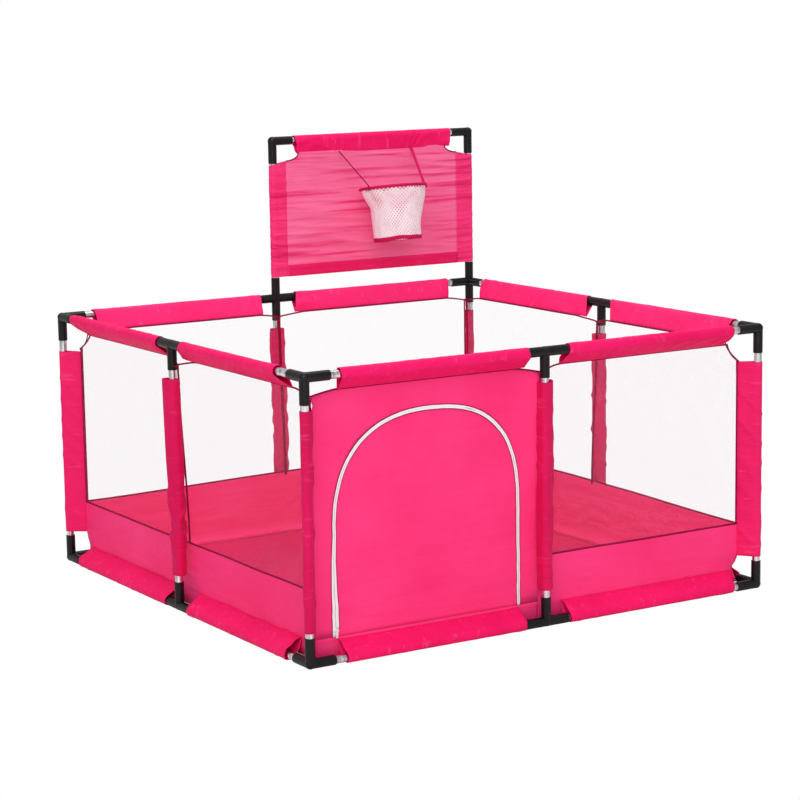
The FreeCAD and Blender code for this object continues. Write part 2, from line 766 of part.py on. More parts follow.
def write():
    os.makedirs("parts", exist_ok=True)
    for thing in nodes:
        thing.Shape.exportStep(f"parts/{thing.Label}.step")


add_tubes()
add_joints()
add_backboard_frame()
add_cover()
add_door()
add_slider()
add_pull()
add_board_cloth()
add_hoop()
add_straps()
doc.recompute()
check()
write()
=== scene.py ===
"""The playpen's visual model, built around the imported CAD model.

Lengths are in metres.  Sides are numbered as in the CAD: 0 front, 1 right, 2 back, 3 left.
A side's cloth is laid out as if it were at the front, with X along the side from its
middle, Y inward from the posts and Z up, and then turned to its own side.
"""
import bpy
from collections import namedtuple
from math import acos, asin, atan2, cos, exp, hypot, pi, radians, sin, sqrt, tau
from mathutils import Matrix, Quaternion, Vector, noise


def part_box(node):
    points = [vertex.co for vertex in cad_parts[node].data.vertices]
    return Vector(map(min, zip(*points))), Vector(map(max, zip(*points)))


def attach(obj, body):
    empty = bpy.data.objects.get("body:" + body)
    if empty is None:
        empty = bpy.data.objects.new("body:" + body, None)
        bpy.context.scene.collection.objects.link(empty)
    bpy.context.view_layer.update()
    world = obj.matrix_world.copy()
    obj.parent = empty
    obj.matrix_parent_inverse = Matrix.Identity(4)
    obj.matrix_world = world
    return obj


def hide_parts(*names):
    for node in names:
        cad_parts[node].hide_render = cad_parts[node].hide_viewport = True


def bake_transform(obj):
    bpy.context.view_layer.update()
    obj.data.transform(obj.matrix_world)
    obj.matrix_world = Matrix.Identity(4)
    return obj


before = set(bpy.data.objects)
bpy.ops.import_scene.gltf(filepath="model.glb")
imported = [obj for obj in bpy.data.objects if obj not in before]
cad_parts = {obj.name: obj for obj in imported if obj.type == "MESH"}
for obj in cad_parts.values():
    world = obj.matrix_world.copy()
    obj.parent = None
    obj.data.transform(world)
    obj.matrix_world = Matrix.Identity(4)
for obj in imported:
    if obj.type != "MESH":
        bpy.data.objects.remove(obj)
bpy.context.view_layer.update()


# ---- measures from the CAD

def low(node):
    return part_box(node)[0]


def high(node):
    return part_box(node)[1]


def middle(node):
    return (low(node) + high(node)) / 2


SIDES = ("front", "right", "back", "left")
CORNERS = ("front_left", "front_right", "back_right", "back_left")
BAYS = (("left", "right"), ("front", "back"), ("right", "left"), ("back", "front"))
OPEN_CORNERS = ("front_right", "back_left")  # the cloth isn't tied here, and draws back
FAR_SIDES = ("right", "back")  # their rail sleeves get a lighter copy of the rail cloth, as painted light
CLOTH = 0.0012  # what a layer of the CAD's cloth takes up
WALL_CLOTH = 0.0010  # the visual cloth's thickness, in the walls and floor,
SLEEVE_CLOTH = 0.0009  # in the sleeves and the zip's tapes
BOARD_CLOTH = 0.0008  # and in the board
HALF = middle("post_front_right").x
RAIL_LOW = middle("bottom_rail_front_left").z
RAIL_HIGH = middle("top_rail_front_left").z
RAIL_BOARD = middle("board_rail").z
TUBE = (high("post_front_middle").x - low("post_front_middle").x) / 2
ARM = TUBE + 0.002
INSET = HALF + low("cover_floor").x + CLOTH / 2
REACH = HALF - INSET
BAND_TOP = low("mesh_windows").z
WALL_TOP = high("mesh_windows").z
SLEEVE = TUBE + 0.0009  # radius of the cloth around a tube
RAIL_SLEEVE = ARM + 0.0010  # and where it reaches over the joints' arms
SEAM = 0.029  # from a tube's axis to a sleeve's seam, along each axis
DOOR_X = middle("door_flap").x
SILL = low("door_flap").z
ZIP_WIDTH = 0.012
ARCH = (high("zip_tape_fixed").x - low("zip_tape_fixed").x - ZIP_WIDTH) / 2
SPRING = high("zip_tape_fixed").z - ARCH - ZIP_WIDTH / 2
POST_LOW = 0.080
POST_HIGH = 0.560


def on_side(side, along, inward, height):
    """A point of a side, turned from the front to where that side is."""
    x, y = along, inward - HALF
    for _ in range(side):
        x, y = -y, x
    return Vector((x, y, height))


def facing_in(side):
    """The direction from a side into the pen."""
    return on_side(side, 0, 1, 0) - on_side(side, 0, 0, 0)


def spaced(start, finish, count):
    """Evenly spaced numbers from start to finish."""
    return [start + (finish - start) * i / count for i in range(count + 1)]


# ---- folds and wrinkles

def drift(x, y, seed):
    """A smooth random height from about -1 to 1."""
    return noise.noise(Vector((x, y, seed)))


def crease(x, y, seed, sharp=5.0):
    """Random narrow ridges, from 0 to 1."""
    return max(0.0, 1 - sharp * abs(drift(x, y, seed))) ** 1.5


def bump(x, centre, spread):
    """A smooth hump of height 1 around a place."""
    return exp(-((x - centre) / spread) ** 2)


def ramp(x, start, finish):
    """0 before start, 1 after finish and smooth in between."""
    t = min(1.0, max(0.0, (x - start) / (finish - start)))
    return t * t * (3 - 2 * t)


def billow(side, along, height):
    """How far a side's wall hangs inward of its flat place, with its creases."""
    from_post = min(abs(along), REACH - abs(along))
    free = ramp(from_post, 0.0, 0.16) * ramp(height, 0.03, 0.20) * ramp(WALL_TOP - height, 0, 0.12)
    slack = 0.0035 * drift(along * 3.1, height * 3.7, side + 0.5) * free
    ripple = 0.0017 * drift(along * 6, height * 36, side + 4.5) * ramp(from_post, 0, 0.06)
    pull = crease(along * 7, height * 34 + along * 5, side + 7.5)
    near_foot = bump(height, 0.075, 0.045) + 0.5 * bump(height, WALL_TOP - 0.05, 0.04)
    folds = 0.0024 * pull * near_foot + 0.0016 * crease(along * 2.1, height * 2.6, side + 9.5) * free
    hang = slack + ripple * ramp(height, 0.02, 0.1) + folds
    if side == 0 and along < 0:
        hang *= ramp(abs(height - SILL), 0.0, 0.06)  # taut along the seam the door swings on
    return hang - tied_in(along, height)


def tied_in(along, height):
    """How far the middle posts' ties draw the wall outward."""
    return 0.0175 * bump(along, 0, 0.032) * ramp(height, 0.15, 0.60)


def wall_place(side, along, height, inward=0.0):
    """A place on a side's wall, or a little inward of it."""
    return on_side(side, along, INSET + billow(side, along, height) + inward, height)


def foot_place(side, along, height):
    """A wall's cloth near the floor, where it curves in to meet it."""
    return wall_place(side, along, height, 0.010 * (1 - ramp(height, 0.0, 0.03)) ** 2)


def foot_cut(corner, height):
    """How far a wall's lower cloth draws back from a corner."""
    if corner not in OPEN_CORNERS:
        return 0.0
    return 0.020 * bump(height, 0.044, 0.022) + 0.006 * bump(height, 0, 0.02)


def band_top(side, along):
    """Height of a side's cloth band, taller toward the back right corner."""
    if SIDES[side] not in FAR_SIDES:
        return BAND_TOP
    toward = along if SIDES[side] == "right" else -along
    return BAND_TOP + 0.010 * ramp(toward, -REACH, 0.1)


# ---- meshes

def add_object(name, data):
    thing = bpy.data.objects.new(name, data)
    bpy.context.scene.collection.objects.link(thing)
    return thing


def settle(piece, body, slot, nodes=()):
    """Attach a piece to the body it rides on, if any, and hide the CAD nodes it stands for.  slot is not
    used.
    """
    if body:
        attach(piece, body)
    if nodes:
        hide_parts(*nodes)
    return piece


def mesh_of(name, places, faces, corners_uv, finish):
    """A smooth mesh, with a map in metres along its cloth."""
    mesh = bpy.data.meshes.new(name)
    mesh.from_pydata(places, [], faces)
    mesh.polygons.foreach_set("use_smooth", [True] * len(faces))
    if corners_uv:
        layer = mesh.uv_layers.new(name="cloth")
        for loop, uv in zip(layer.data, corners_uv):
            loop.uv = uv
    mesh.materials.append(FINISHES[finish])
    return add_object(name, mesh)


def travelled(places):
    """The distance along a line to each of its places."""
    lengths = [0.0]
    for a, b in zip(places, places[1:]):
        lengths.append(lengths[-1] + (b - a).length)
    return lengths


def quads(rows, columns, loop, first, along, up):
    """A grid's faces, its vertices numbered from first, and its map of two distances."""
    faces, uvs = [], []
    for r in range(rows - 1):
        for c in range(columns if loop else columns - 1):
            left = first + r * columns + c
            right = first + r * columns + (c + 1) % columns
            faces.append([left, right, right + columns, left + columns])
            uvs += [(along[c], up[r]), (along[c + 1], up[r]),
                    (along[c + 1], up[r + 1]), (along[c], up[r + 1])]
    return faces, uvs


def cloth(name, grids, finish="pink_cloth", body="pen", slot="pink_cloth", nodes=(),
          thick=SLEEVE_CLOTH, loop=False):
    """A piece of cloth made of one or more grids, given as rows of places."""
    places, faces, uvs = [], [], []
    for rows in grids:
        columns = len(rows[0])
        centre_row = rows[len(rows) // 2]
        along = travelled(centre_row + centre_row[:1])
        up = travelled([row[columns // 2] for row in rows])
        more_faces, more_uvs = quads(len(rows), columns, loop, len(places), along, up)
        places += [place for row in rows for place in row]
        faces += more_faces
        uvs += more_uvs
    piece = mesh_of(name, places, faces, uvs, finish)
    if thick:
        solid = piece.modifiers.new("thickness", "SOLIDIFY")
        solid.thickness = thick
        solid.offset = 0
    return settle(piece, body, slot, nodes)


def swept(name, lines, finish, body, section, around=8, face=(0.31, 0.17, 0.93), slot=None):
    """Cords or flat strips along lines of places, closed at both ends.

    section is its width and depth, and face the direction that its flat side looks in.
    """
    across, thick = section
    places, faces, uvs = [], [], []
    rims = [across * 2 * k / around for k in range(around + 1)]
    for line in lines:
        first = len(places)
        for before, place, after in zip(line[:1] + line, line, line[1:] + line[-1:]):
            run = (after - before).normalized()
            side = run.cross(Vector(face)).normalized()
            front = side.cross(run).normalized()
            for k in range(around):
                angle = tau * (k + 0.5) / around
                places.append(place + side * (across / 2 * cos(angle))
                              + front * (thick / 2 * sin(angle)))
        more_faces, more_uvs = quads(len(line), around, True, first, rims, travelled(line))
        faces += more_faces
        uvs += [(length, rim) for rim, length in more_uvs]
        last = len(places) - around
        for cap in (range(first + around - 1, first - 1, -1), range(last, last + around)):
            faces.append(list(cap))
            uvs += [(0.0, 0.0)] * around
    return settle(mesh_of(name, places, faces, uvs, finish), body, slot or finish)


# ---- materials

class Nodes:
    """The nodes of a material or of the sky."""

    def __init__(self, holder):
        holder.use_nodes = True
        self.tree = holder.node_tree

    def feed(self, target, value):
        if isinstance(value, bpy.types.NodeSocket):
            self.tree.links.new(value, target)
        else:
            target.default_value = value

    def add(self, kind, *values, **settings):
        """A new node's first output, its inputs fed in order."""
        node = self.tree.nodes.new("ShaderNode" + kind)
        for setting, value in settings.items():
            setattr(node, setting, value)
        for target, value in zip(node.inputs, values):
            self.feed(target, value)
        return node.outputs[0]

    def maths(self, operation, *values):
        return self.add("Math", *values, operation=operation)


class Finish(Nodes):
    """A material whose nodes are added step by step."""

    def __init__(self, name, rough, **sockets):
        self.material = bpy.data.materials.new(name)
        super().__init__(self.material)
        self.shader = self.tree.nodes["Principled BSDF"]
        self.set(Roughness=rough, **sockets)
        self.places = self.tree.nodes.new("ShaderNodeTexCoord")
        self.height = None

    def set(self, **sockets):
        """Feed the shader's own sockets, whose names have _ for a space."""
        for socket, value in sockets.items():
            self.feed(self.shader.inputs[socket.replace("_", " ")], value)

    def noise(self, scale, detail=3.0, stretch=(1, 1, 1)):
        """Random cloud from 0 to 1; scale is in cycles a metre."""
        unmoved = (0, 0, 0)
        mapped = self.add("Mapping", self.places.outputs["Object"], unmoved, unmoved, stretch)
        return self.add("TexNoise", mapped, 0.0, scale, detail)

    def painted_crease_highlights(self, scale, stretch):
        """Sparse short pale lines from 0 to 1, where highlights along crease ridges are painted."""
        return self.spread(self.noise(scale, 2.0, stretch), 0.62, 0.74)

    def flat(self):
        """The two distances along the cloth, in metres."""
        return self.add("SeparateXYZ", self.places.outputs["UV"]).node.outputs[:2]

    def threads(self, distance, pitch):
        """A wave from 0 to 1 that repeats with a thread's pitch."""
        turned = self.maths("MULTIPLY", distance, tau / pitch)
        return self.maths("MULTIPLY_ADD", self.maths("SINE", turned), 0.5, 0.5)

    def spread(self, value, low_in, high_in, low_out=0.0, high_out=1.0):
        return self.add("MapRange", value, low_in, high_in, low_out, high_out)

    def mix(self, factor, one, other):
        node = self.tree.nodes.new("ShaderNodeMix")
        node.data_type = "RGBA"
        for index, value in ((0, factor), (6, one), (7, other)):
            self.feed(node.inputs[index], value)
        return node.outputs[2]

    def roughness(self, value, lowest, highest):
        self.set(Roughness=self.spread(value, 0, 1, lowest, highest))

    def relief(self, value, depth, strength=1.0):
        """Add a relief of some depth in metres on top of the ones before."""
        node = self.tree.nodes.new("ShaderNodeBump")
        for socket, fed in (("Strength", strength), ("Distance", depth), ("Height", value)):
            self.feed(node.inputs[socket], fed)
        if self.height:
            self.feed(node.inputs["Normal"], self.height)
        self.height = node.outputs[0]
        self.set(Normal=self.height)


def rgb(red, green, blue):
    """A colour given as a screen shows it, from 0 to 255, as linear light."""
    def linear(channel):
        share = channel / 255
        return share / 12.92 if share <= 0.04045 else ((share + 0.055) / 1.055) ** 2.4
    return (linear(red), linear(green), linear(blue), 1.0)


WEAVE = 0.0007  # pitch of the cloth's threads


def cloth_finish(name, light, dark, scale, stretch, depth, highlight_share=0.0, painted_dark_streaks=None, see_through=0.0):
    """Smooth woven polyester: a fine weave, soft blotches and swells.

    scale and stretch are those of its swells, and depth their depth.  marks is how strong its painted
    highlights along crease ridges are, and streaks a deeper colour of painted shade that shows in level
    bands, along level wrinkles.
    """
    made = Finish(name, 0.6, Sheen_Weight=0.10, Sheen_Roughness=0.4,
                  Sheen_Tint=rgb(255, 120, 170), Specular_IOR_Level=0.12)
    across, up = made.flat()
    weave = made.maths("MAXIMUM", made.threads(across, WEAVE), made.threads(up, WEAVE))
    tone = made.mix(made.spread(made.noise(5, 4), 0.3, 0.7), dark, light)
    # Deeper level bands are painted shade, on the same bands as the relief of level wrinkles.
    if painted_dark_streaks:
        bands = made.noise(9, 5, (0.35, 1, 9))
        tone = made.mix(made.spread(bands, 0.52, 0.70), tone, painted_dark_streaks)
        made.relief(bands, 0.006, 0.6)
    # Pale lines of painted highlight along crease ridges.
    if highlight_share:
        crease_highlight = made.painted_crease_highlights(scale * 2, stretch)
        tone = made.mix(made.maths("MULTIPLY", crease_highlight, highlight_share), tone, rgb(255, 120, 172))
    made.set(Base_Color=made.mix(made.spread(weave, 0.2, 1.0, 0.10, 0.0), tone, dark))
    made.roughness(made.noise(30, 5), 0.50, 0.70)
    made.relief(weave, 0.00008, 0.25)
    made.relief(made.noise(scale, 2, stretch), depth, 0.5)
    if see_through:
        made.set(Subsurface_Weight=see_through, Subsurface_Radius=(0.01, 0.004, 0.005))
    return made


def mesh_finish(name, light, dark, pitch, width):
    """Knitted netting: slanting threads with open diamonds between them."""
    made = Finish(name, 0.6, Specular_IOR_Level=0.2)
    across, up = made.flat()
    nearest = []
    for hand in (1, -1):
        slanted = made.maths("MULTIPLY_ADD", up, hand * 0.8, across)
        cell = made.maths("FRACT", made.maths("MULTIPLY", slanted, 1 / pitch))
        nearest.append(made.maths("ABSOLUTE", made.maths("SUBTRACT", cell, 0.5)))
    thread = made.maths("MINIMUM", *nearest)
    share = width / pitch / 2
    made.set(Alpha=made.spread(thread, share * 0.7, share * 1.3, 1.0, 0.0))
    tone = made.noise(40, 3)
    made.set(Base_Color=made.mix(made.spread(tone, 0.3, 0.7), light, dark))
    made.roughness(tone, 0.5, 0.7)
    made.relief(thread, 0.0002, 0.3)
    return made


def webbing_finish(name, light, dark):
    """Narrow folded tape with ribs along it and a row of stitches."""
    made = Finish(name, 0.7, Specular_IOR_Level=0.15)
    along, around = made.flat()
    ribs = made.threads(around, 0.0009)
    stitches = made.spread(made.threads(along, 0.0034), 0.55, 0.7)
    tone = made.mix(made.noise(60, 3), dark, light)
    made.set(Base_Color=made.mix(made.maths("MULTIPLY", stitches, 0.35), tone, light))
    made.roughness(made.noise(80, 4), 0.6, 0.8)
    made.relief(ribs, 0.0002, 0.4)
    made.relief(stitches, 0.0003, 0.5)
    return made


def plastic_finish(name):
    """Black moulded plastic, finely grained and rubbed greyer on its edges."""
    made = Finish(name, 0.4, Specular_IOR_Level=0.28)
    scuffs = made.spread(made.noise(55, 6, (1, 1, 0.4)), 0.55, 0.75)
    edges = made.tree.nodes.new("ShaderNodeNewGeometry").outputs["Pointiness"]
    worn = made.spread(edges, 0.52, 0.62)
    rubbed = made.maths("MAXIMUM", made.maths("MULTIPLY", scuffs, 0.35), worn)
    made.set(Base_Color=made.mix(rubbed, rgb(17, 13, 16), rgb(44, 39, 43)))
    made.roughness(made.maths("MULTIPLY_ADD", scuffs, 0.6, 0.2), 0.32, 0.48)
    made.relief(made.noise(900, 2), 0.00015, 0.35)
    return made


def steel_finish(name):
    """Bright plated steel tube with faint blemishes, and lines along its length: drawn grain in its
    roughness and relief, and dark painted reflections in its colour.
    """
    made = Finish(name, 0.24, Metallic=1.0)
    painted_dark_streaks = made.noise(30, 3, (6, 6, 0.5))
    spots = made.spread(made.noise(160, 5), 0.62, 0.75)
    # The dark lines in its colour are painted reflections.
    tone = made.mix(made.spread(painted_dark_streaks, 0.42, 0.62), rgb(190, 186, 190), rgb(252, 252, 253))
    made.set(Base_Color=made.mix(made.maths("MULTIPLY", spots, 0.4), tone, rgb(150, 146, 150)))
    made.roughness(painted_dark_streaks, 0.14, 0.28)
    made.relief(painted_dark_streaks, 0.0001, 0.2)
    return made


def zip_metal_finish(name):
    """White-painted die-cast metal, a little chipped."""
    made = Finish(name, 0.35, Coat_Weight=0.3)
    chips = made.spread(made.noise(700, 4), 0.66, 0.70)
    made.set(Base_Color=made.mix(chips, rgb(240, 238, 240), rgb(150, 148, 150)))
    made.roughness(made.noise(300, 3), 0.25, 0.5)
    made.relief(made.noise(900, 2), 0.0001, 0.3)
    return made


RAIL_SWELLS = (20, (2.2, 2.2, 0.6), 0.006)
SLEEVE_SWELLS = (14, (0.6, 0.6, 4), 0.007)
RECIPES = {
    "pink_cloth": (cloth_finish, rgb(255, 62, 132), rgb(251, 48, 118), 9, (0.5, 1, 4), 0.007),
    # The rail cloth comes as a darker copy with painted shade, for the near rail sleeves and the board's
    # top sleeve, and a lighter copy with painted light, for the far sides' rail sleeves. The rail and
    # sleeve cloths carry painted crease highlights.
    "pink_rail": (cloth_finish, rgb(250, 24, 108), rgb(236, 16, 97), *RAIL_SWELLS, 0.2),
    "pink_rail_light": (cloth_finish, rgb(255, 48, 124), rgb(247, 36, 112), *RAIL_SWELLS, 0.2),
    "pink_sleeve": (cloth_finish, rgb(243, 34, 108), rgb(230, 26, 98), *SLEEVE_SWELLS, 0.14),
    # A deeper copy of the sleeve cloth, as painted shade, for the middle posts and the tied corners'
    # posts.
    "pink_sleeve_deep": (cloth_finish, rgb(221, 18, 91), rgb(204, 11, 80), *SLEEVE_SWELLS, 0.14),
    # The floor's cloth is deeper than the walls', as painted shade.
    "pink_floor": (cloth_finish, rgb(218, 18, 90), rgb(204, 11, 80), 5, (1, 1, 1), 0.008),
    # Both board cloths have the painted shade of level wrinkles in deeper bands, and the side sleeves
    # painted crease highlights.
    "board_cloth": (cloth_finish, rgb(255, 124, 172), rgb(254, 104, 156), 16, (1, 1, 5), 0.003,
                    0.0, rgb(236, 50, 118), 0.2),
    "board_side": (cloth_finish, rgb(255, 66, 136), rgb(252, 50, 120), 30, (0.5, 1, 6), 0.006,
                   0.2, rgb(224, 30, 102)),
    "pink_webbing": (webbing_finish, rgb(214, 18, 88), rgb(186, 8, 72)),
    "pink_binding": (webbing_finish, rgb(158, 6, 64), rgb(126, 3, 48)),
    "white_mesh": (mesh_finish, rgb(226, 190, 212), rgb(206, 160, 192), 0.0042, 0.00014),
    "net_mesh": (mesh_finish, rgb(255, 253, 255), rgb(246, 232, 241), 0.0085, 0.0040),
    "zip_tape": (webbing_finish, rgb(250, 249, 251), rgb(236, 233, 238)),
    "zip_metal": (zip_metal_finish,),
    "black_plastic": (plastic_finish,),
    "steel_tube": (steel_finish,),
}
FINISHES = {name: maker(name, *values).material for name, (maker, *values) in RECIPES.items()}


# ---- loops of cloth round the tubes

def belt(wheel, fold_at, fold=0.0009, run=7, turn=12):
    """Places round a loop of cloth in its own plane, with how near each is to the seam.

    The loop starts at the seam, runs up to the tube, round it and back.
    """
    distance = fold_at.length
    heading = atan2(fold_at.y, fold_at.x)
    spread = acos((wheel - fold) / distance)
    hub = Vector((0, 0))

    def rim(centre, radius, angle):
        return centre + Vector((cos(angle), sin(angle))) * radius

    right, left = heading - spread, heading + spread
    places = [rim(fold_at, fold, heading)]
    start, finish = rim(fold_at, fold, right), rim(hub, wheel, right)
    places += [start.lerp(finish, i / run) for i in range(run)]
    places += [rim(hub, wheel, right - (tau - 2 * spread) * i / turn) for i in range(turn + 1)]
    start, finish = rim(hub, wheel, left), rim(fold_at, fold, left)
    places += [start.lerp(finish, (i + 1) / run) for i in range(run)]
    way = fold_at.normalized()
    full = distance + fold + wheel
    return [(p, (p.dot(way) + wheel) / full) for p in places]


def sleeve(name, finish, body, section, station, lift, starts, ends, steps):
    """A sleeve with the section of a belt: station(t, place) sets a place at t along the tube.

    starts and ends give t at the far side of the tube and at the seam.  lift(t, around,
    depth) pushes the cloth out of the loop.
    """
    area = sum(a[0].cross(b[0]) for a, b in zip(section, section[1:] + section[:1]))
    out = -1 if area > 0 else 1
    count = len(section)
    rows = []
    for step in range(steps + 1):
        row = []
        for index, (place, depth) in enumerate(section):
            start = starts[0] + (starts[1] - starts[0]) * depth
            end = ends[0] + (ends[1] - ends[0]) * depth
            t = start + (end - start) * step / steps
            run = section[(index + 1) % count][0] - section[index - 1][0]
            push = Vector((-run.y, run.x)).normalized() * out * lift(t, index / count, depth)
            row.append(station(t, place + push))
        rows.append(row)
    return cloth(name, [rows], finish, body, loop=True)


def rail_sleeve(level, label, side, height, rise, starts, ends, seed, rough):
    """The sleeve on one rail, with slanted ends and short puckers across it."""
    section = belt(RAIL_SLEEVE, Vector((SEAM, rise)))

    def station(t, place):
        return on_side(side, t, place.x, max(CLOTH / 2, height + place.y))

    def lift(t, around, depth):
        near_end = bump(t, starts[1], 0.05) + bump(t, ends[1], 0.05)
        pucker = crease(t * 19 + depth * 2.2 * drift(t * 4, 0, seed), around * 2.0, seed, 3.2)
        swell = 0.5 + 0.5 * drift(t * 7, around * 2, seed + 0.3)
        free = ramp(depth, 0.05, 0.4) * ramp(1 - depth, 0.0, 0.25)
        puckers = rough * pucker * (0.35 + near_end + ramp(swell, 0.55, 0.8))
        return 0.0004 * swell + puckers * (0.35 + 0.65 * free) + 0.0012 * free * swell

    # The far sides get the lighter copy with painted light, the near sides the darker copy with painted
    # shade.
    finish = "pink_rail_light" if SIDES[side] in FAR_SIDES else "pink_rail"
    piece = sleeve(f"{level}_sleeve_{label}", finish, "pen", section, station, lift, starts, ends, 96)


# Where each rail's sleeve ends, from the axes of its corner post and its middle post: above the
# rail and at the seam.  Each side has its first bay, then its second.
RAIL_ENDS = {
    "top": {
        "front": (((0.085, 0.098), (0.049, 0.037)), ((0.084, 0.086), (0.063, 0.061))),
        "right": (((0.086, 0.095), (0.046, 0.078)), ((0.086, 0.100), (0.057, 0.026))),
        "back": (((0.077, 0.091), (0.059, 0.041)), ((0.086, 0.092), (0.050, 0.057))),
        "left": (((0.070, 0.116), (0.060, 0.070)), ((0.115, 0.105), (0.058, 0.014))),
    },
    "bottom": {
        "front": (((0.090, 0.089), (0.062, 0.057)), ((0.078, 0.062), (0.064, 0.064))),
        "right": (((0.078, 0.062), (0.062, 0.054)), ((0.086, 0.070), (0.062, 0.054))),
        "back": (((0.086, 0.070), (0.062, 0.054)), ((0.076, 0.072), (0.062, 0.054))),
        "left": (((0.076, 0.072), (0.055, 0.043)), ((0.090, 0.089), (0.062, 0.052))),
    },
}
# Each level's rail, how far its sleeve's seam is above it, its first seed and its puckers' height.
LEVELS = {"top": (RAIL_HIGH, -0.036, 10.5, 0.0026), "bottom": (RAIL_LOW, 0.034, 30.5, 0.0030)}


def add_rail_sleeves():
    for side, name in enumerate(SIDES):
        for bay, where in enumerate(BAYS[side]):
            for level, (height, rise, first_seed, rough) in LEVELS.items():
                at_corner, at_tee = RAIL_ENDS[level][name][bay]
                if bay == 0:
                    starts, ends = [gap - HALF for gap in at_corner], [-gap for gap in at_tee]
                else:
                    starts, ends = at_tee, [HALF - gap for gap in at_corner]
                seed = side * 2 + bay + first_seed
                rail_sleeve(level, f"{name}_{where}", side, height, rise, starts, ends, seed, rough)


POST_TOPS = {"front_left": 0.569, "back_left": 0.554}  # others end at POST_HIGH
POST_SEAM = SEAM + 0.0045


def add_post_sleeves():
    """Sleeves on the corner posts, folded inward."""
    section = belt(SLEEVE, Vector((POST_SEAM, POST_SEAM)))
    for side, corner in enumerate(CORNERS):
        top = POST_TOPS.get(corner, POST_HIGH)

        def station(t, place, side=side):
            return on_side(side, place.x - HALF, place.y, t)

        def lift(t, around, depth, seed=side + 50.5):
            slant = t * 15 + depth * 0.8 * (1 if around < 0.5 else -1)
            folds = crease(slant, around * 0.9, seed, 4.5)
            free = ramp(depth, 0.1, 0.35) * ramp(1 - depth, 0.0, 0.2)
            swell = 0.0020 * free * drift(t * 9, depth, seed)
            return 0.0004 + folds * 0.0042 * (0.35 + 0.65 * free) + swell

        # The tied corners' sleeves get the deeper copy of the sleeve cloth, as painted shade.
        finish = "pink_sleeve" if corner in OPEN_CORNERS else "pink_sleeve_deep"
        piece = sleeve(f"post_sleeve_{corner}", finish, "pen", section, station, lift,
                       (POST_LOW, POST_LOW), (top, top), 110)


# How each middle post's sleeve hangs: its ends, middle and lean, size, and crumples.
Loose = namedtuple("Loose", "foot top along inward lean radius narrowing depth centre spread")
LOOSE = {
    "front": Loose(0.086, 0.572, 0.005, 0.0085, 0.002, 0.0190, 0.16, 0.0030, 0.50, 0.50),
    "right": Loose(0.080, 0.560, 0.003, 0.0085, 0.000, 0.0185, 0.05, 0.0050, 0.45, 0.60),
    "back": Loose(0.080, 0.560, 0.000, 0.0085, 0.003, 0.0200, 0.05, 0.0045, 0.50, 0.60),
    "left": Loose(0.086, 0.560, 0.000, 0.0030, -0.010, 0.0225, 0.28, 0.0070, 0.30, 0.16),
}


def loose_place(side, t, angle):
    """A place on a loose sleeve at a share t of its height, clear of the post and the wall."""
    hang = LOOSE[SIDES[side]]
    seed = side + 70.5
    way = Vector((cos(angle), sin(angle)))
    pleats = 0.0014 * cos(3 * angle + 2.5 * drift(t * 2.2, 0, seed))
    crush = crease(way.x * 0.8 + t * 9, way.y * 0.8 + t * 3, seed, 3.0)
    buckle = hang.depth * (crush - 0.35) * bump(t, hang.centre, hang.spread)
    shell = hang.radius * (1 - hang.narrowing * (1 - t) ** 1.5) + pleats + buckle
    x = hang.along + way.x * shell + hang.lean * ramp(t, 0.2, 1.0)
    y = hang.inward + way.y * shell
    clear = SLEEVE + 0.0006
    if hypot(x, y) < clear:
        x, y = Vector((x, y)).normalized() * clear
    slope = 0.006 * drift(side + 0.3, 0.7, 75.5) * way.x * ramp(t, 0.8, 1.0)
    height = hang.foot + (hang.top - hang.foot) * t + slope
    wall = INSET + billow(side, x, height) - 0.0016
    return on_side(side, x, min(y, wall), height)


def add_middle_sleeves():
    for side, name in enumerate(SIDES):
        turns = spaced(0, tau, 40)[:-1]
        rows = [[loose_place(side, t, angle) for angle in turns] for t in spaced(0, 1, 120)]
        # Every middle sleeve gets the deeper copy of the sleeve cloth, as painted shade.
        piece = cloth(f"post_sleeve_{name}_middle", [rows], "pink_sleeve_deep", loop=True)


# ---- the walls

# A wall's upper corners are tied to the joint, or left open with a hollow edge.
OPEN_WIDE = {("front", 1): 0.036, ("right", 0): 0.052, ("back", 1): 0.033, ("left", 0): 0.052}
OPEN_DEEP = 0.044
TIED_WIDE, TIED_DEEP = 0.068, 0.011
SIDE_CUT = 0.006
SEAM_GAP = 0.0006  # from a seam to the edges that meet at it
PIPING, BAND_BINDING = (0.0044, 0.0026), (0.0050, 0.0026)  # width and depth
TIE, TIE_STRIP = (0.0066, 0.0012), (0.0060, 0.0012)
TIE_SAG = 0.0015  # how uneven the webbing runs
TIE_BARE = 0.42  # share of the webbing's way round that lies on the wall's far side
PIPING_GAPS = (0.006, 0.0012)  # from a bay's corner and middle edges to their piping


def bay_span(side, bay):
    """A bay's start and finish, and how wide each end's opening is, if any."""
    corner_wide = OPEN_WIDE.get((SIDES[side], bay), 0.0)
    if bay == 0:
        return -REACH, -SEAM_GAP, corner_wide, 0.0
    return SEAM_GAP, REACH, 0.0, corner_wide


def top_edge(along, start, finish, start_wide, finish_wide):
    """Height of a wall's upper edge, hollow toward its two ends."""
    drop = 0.0
    for end, wide in ((start, start_wide), (finish, finish_wide)):
        away = min(1.0, abs(along - end) / (wide or TIED_WIDE))
        if wide:
            drop = max(drop, OPEN_DEEP * (0.55 * sqrt(1 - away * away) + 0.45 * (1 - away)))
        else:
            drop = max(drop, TIED_DEEP * (1 - away) ** 1.4)
    return WALL_TOP - drop


